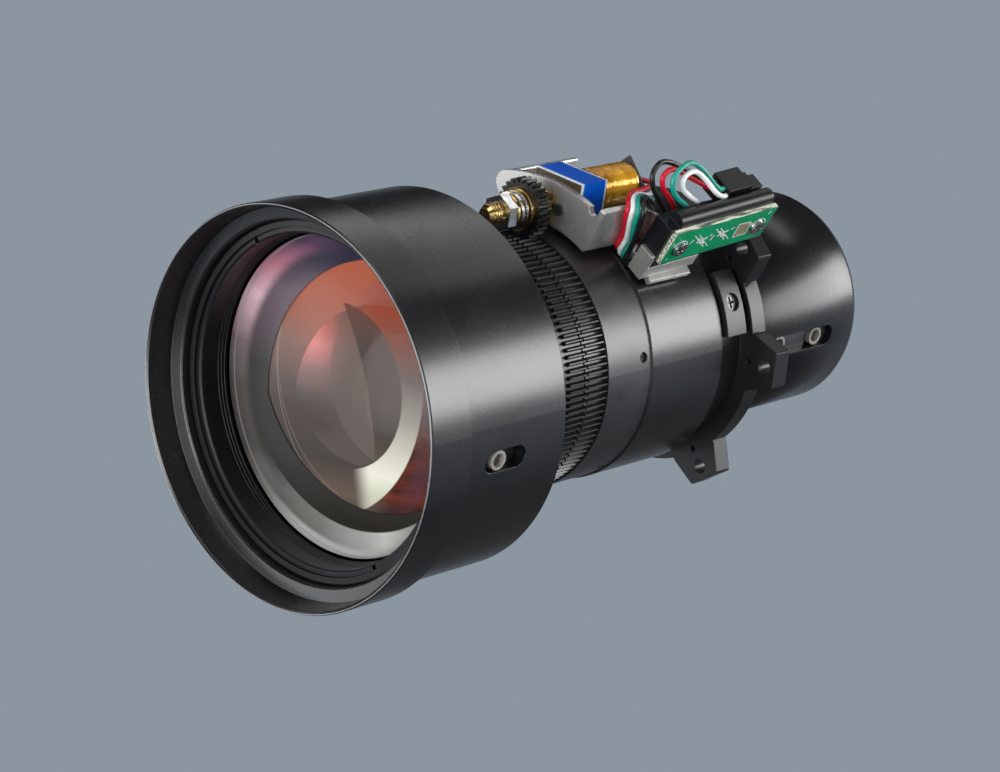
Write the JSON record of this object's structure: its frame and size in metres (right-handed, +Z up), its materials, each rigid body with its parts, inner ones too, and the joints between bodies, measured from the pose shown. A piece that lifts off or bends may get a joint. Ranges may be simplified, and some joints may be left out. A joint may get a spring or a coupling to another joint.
{
  "type": "projection lens",
  "caption": "Motorised projection lens: a deep hood over a sliding front lens group, geared focus and zoom rings, a clutch-driven pinion, an eared mounting flange and a rear barrel",
  "frame": {"origin": "on the optical axis in the plane of the flange's rear seating face", "axes": "+Y runs along the optical axis toward the projector, the front rim lies at -Y, +Z is up with the drive unit above the barrel, +X is to the right seen from the front side of the picture"},
  "size_m": [0.116, 0.2168, 0.1189],
  "materials": {
    "hood_black": "satin anodised black outside, flocked matt inside",
    "cell_black": "matt black anodised aluminium",
    "ring_black": "fine ribbed matt black",
    "front_glass": "multi-coated, rose and amber reflections",
    "inner_glass": "multi-coated, pale green and rose reflections",
    "gear_black": "moulded black gear resin",
    "sleeve_grey": "moulded dark grey resin",
    "tube_dark": "dull black anodised tube",
    "barrel_black": "satin black anodised aluminium",
    "flange_black": "fine cast and blackened aluminium",
    "rear_barrel_black": "satin black anodised aluminium",
    "roller_pale": "pale acetal",
    "screw_dark": "blackened steel",
    "screw_bright": "nickel plated steel",
    "brass": "turned brass",
    "spring_steel": "bright spring steel",
    "nut_bright": "bright zinc plated steel",
    "bracket_silver": "tumbled die casting",
    "gearbox_brown": "brown resin",
    "tape_blue": "blue insulating tape with pale edges",
    "motor_steel": "plated steel can",
    "tape_amber": "amber film tape",
    "plate_dark": "dark insulating plate",
    "holder_black": "moulded black resin",
    "board_green": "green lacquered circuit board",
    "lead_red": "smooth insulated lead",
    "lead_black": "smooth insulated lead",
    "lead_green": "smooth insulated lead",
    "lead_white": "smooth insulated lead"
  },
  "bodies": {
    "barrel_unit": {"front_hood": "hood_black", "ring_spacer": "gear_black", "guide_tube": "tube_dark", "main_barrel": "barrel_black", "mount_flange": "flange_black", "clamp_block": "flange_black", "clamp_screw": "screw_bright", "rear_barrel": "rear_barrel_black", "rear_lens": "inner_glass", "rear_retaining_ring": "ring_black", "bearing_bush": "brass", "motor_bracket": "bracket_silver", "bracket_screws": "screw_bright", "gearbox": "gearbox_brown", "gearbox_screw": "screw_dark", "gearbox_tape": "tape_blue", "motor_body": "motor_steel", "motor_tape": "tape_amber", "motor_end_plate": "plate_dark", "connector_holder": "holder_black", "connector_block": "holder_black", "circuit_board": "board_green", "board_screws": "screw_bright", "red_lead": "lead_red", "black_lead": "lead_black", "green_lead": "lead_green", "white_lead": "lead_white"},
    "front_group": {"front_cell": "cell_black", "front_retaining_ring": "ring_black", "front_lens": "front_glass", "second_lens": "inner_glass", "third_lens": "inner_glass", "focus_rollers": "roller_pale", "focus_roller_screws": "screw_dark", "focus_pins": "screw_bright"},
    "focus_ring": {"focus_ring_gear": "gear_black"},
    "zoom_ring": {"zoom_ring_gear": "sleeve_grey", "zoom_drive_pins": "screw_dark", "zoom_cam_barrel": "tube_dark"},
    "zoom_front_group": {"zoom_front_cell": "cell_black", "zoom_front_lens": "inner_glass", "zoom_front_rollers": "roller_pale", "zoom_front_screws": "screw_dark"},
    "zoom_rear_group": {"zoom_rear_cell": "cell_black", "zoom_rear_lens": "inner_glass", "zoom_rear_rollers": "roller_pale", "zoom_rear_screws": "screw_dark"},
    "drive": {"drive_shaft": "brass", "drive_pinion": "gear_black", "friction_washers": "brass", "spring_washers": "spring_steel", "clutch_nut": "nut_bright"}
  },
  "joints": [
    {"name": "focus_turn", "type": "hinge", "parent": "barrel_unit", "child": "focus_ring", "pos_m": [0, -0.0907, 0], "axis": [0, 1, 0], "range_deg": [-25, 75]},
    {"name": "focus_slide", "type": "slide", "parent": "barrel_unit", "child": "front_group", "axis": [0, 1, 0], "range_m": [-0.00241, 0.00721]},
    {"name": "zoom_turn", "type": "hinge", "parent": "barrel_unit", "child": "zoom_ring", "pos_m": [0, -0.0634, 0], "axis": [0, 1, 0], "range_deg": [-25, 30]},
    {"name": "zoom_front_slide", "type": "slide", "parent": "barrel_unit", "child": "zoom_front_group", "axis": [0, 1, 0], "range_m": [-0.00401, 0.00481]},
    {"name": "zoom_rear_slide", "type": "slide", "parent": "barrel_unit", "child": "zoom_rear_group", "axis": [0, 1, 0], "range_m": [-0.00326, 0.00391]},
    {"name": "pinion_turn", "type": "hinge", "parent": "barrel_unit", "child": "drive", "pos_m": [0.00899, -0.0711, 0.04626], "axis": [0, 1, 0], "range_deg": [-137.4, 114.5]}
  ],
  "couplings": [
    {"joint": "focus_slide", "follows": "focus_turn", "m_per_rad": 0.0055004},
    {"joint": "zoom_front_slide", "follows": "zoom_turn", "m_per_rad": 0.0091673},
    {"joint": "zoom_rear_slide", "follows": "zoom_turn", "m_per_rad": 0.0074484},
    {"joint": "pinion_turn", "follows": "zoom_turn", "ratio": -4.5769}
  ]
}
